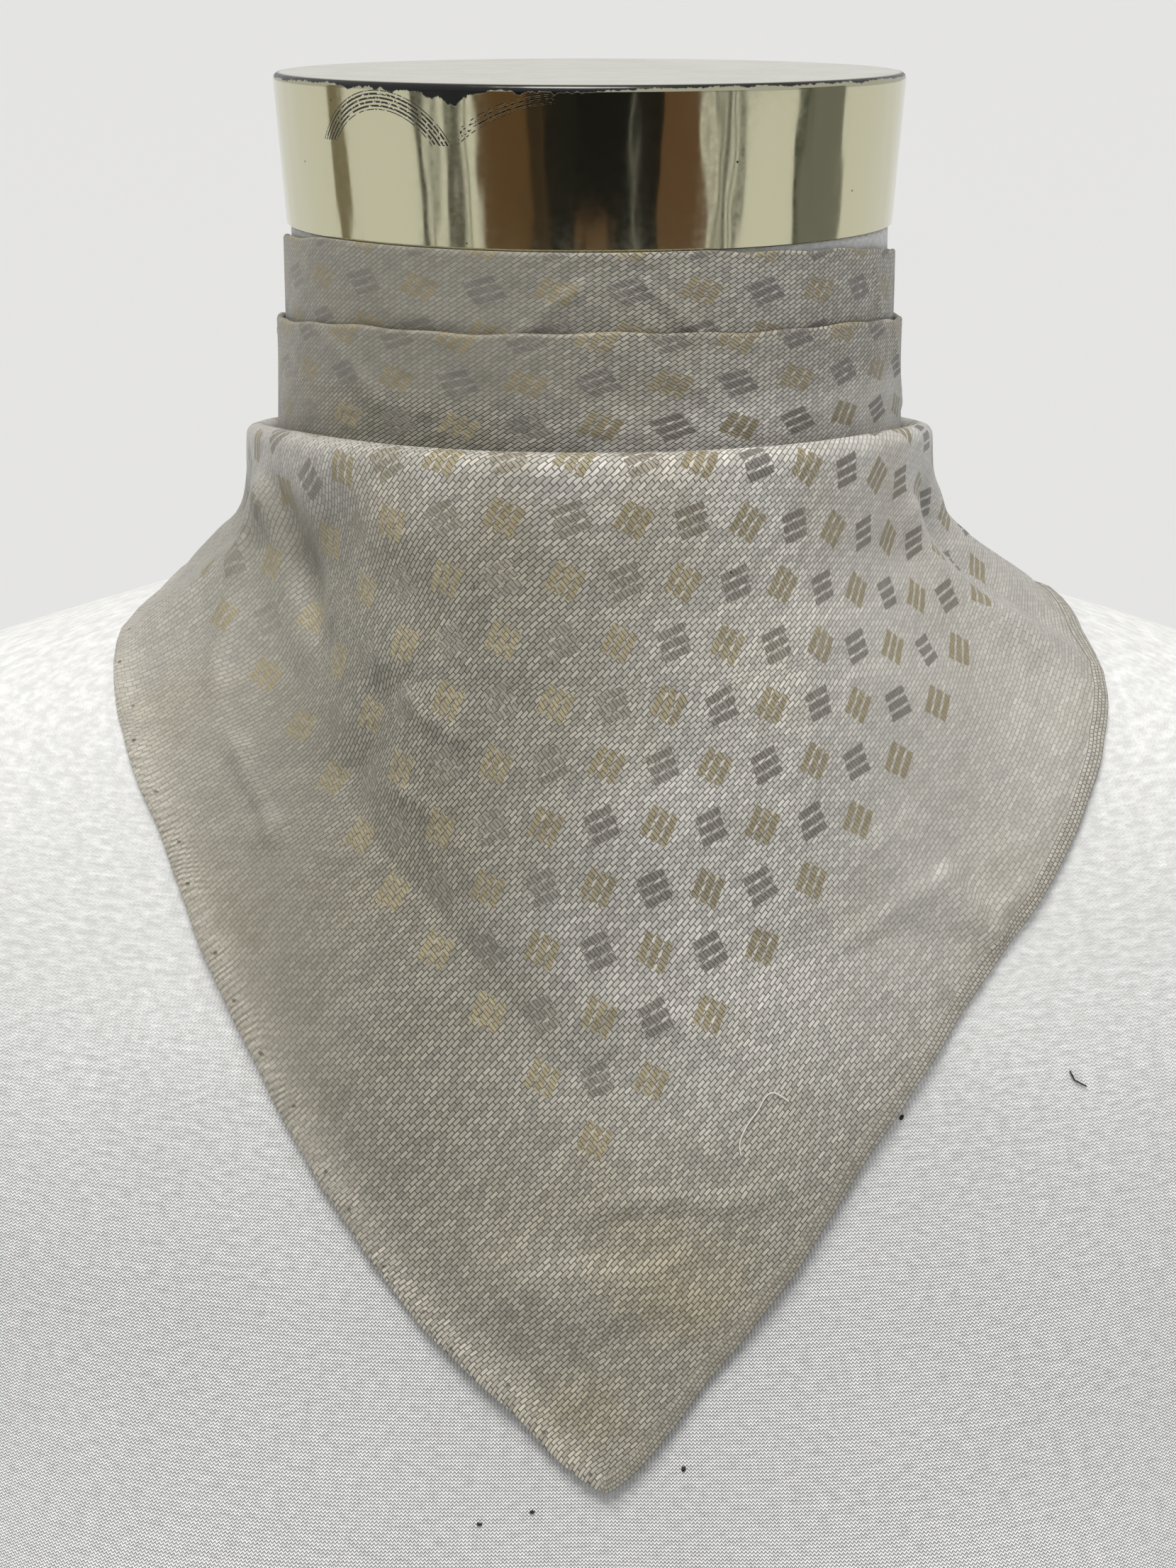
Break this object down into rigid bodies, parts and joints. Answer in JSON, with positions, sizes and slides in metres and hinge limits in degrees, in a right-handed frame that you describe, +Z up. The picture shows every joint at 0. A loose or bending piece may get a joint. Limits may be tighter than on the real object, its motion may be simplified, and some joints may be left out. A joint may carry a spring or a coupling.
{
  "type": "neckerchief on a limbless dress form",
  "caption": "Square neckerchief folded on the bias, wound round the neck of a limbless dress form and tied behind, a corner hanging in front below a soft cowl fold.",
  "frame": {"origin": "on the form's flat underside, straight below the middle of its neck", "axes": "+Z up along the neck, the front of the form faces -Y, +X to the right of someone who looks at its front"},
  "size_m": [0.3676, 0.2373, 0.485],
  "materials": {
    "jacquard": "silk jacquard with a fine twill ground and a soft sheen",
    "jersey": "matt white cotton jersey",
    "plating": "polished pale gold plating, worn dark along the rim"
  },
  "bodies": {
    "root": {"front_drape": "jacquard", "neck_pleat_lower": "jacquard", "neck_pleat_upper": "jacquard", "back_knot": "jacquard", "tail_left": "jacquard", "tail_right": "jacquard", "form_torso": "jersey", "neck_cap": "plating"}
  },
  "joints": []
}
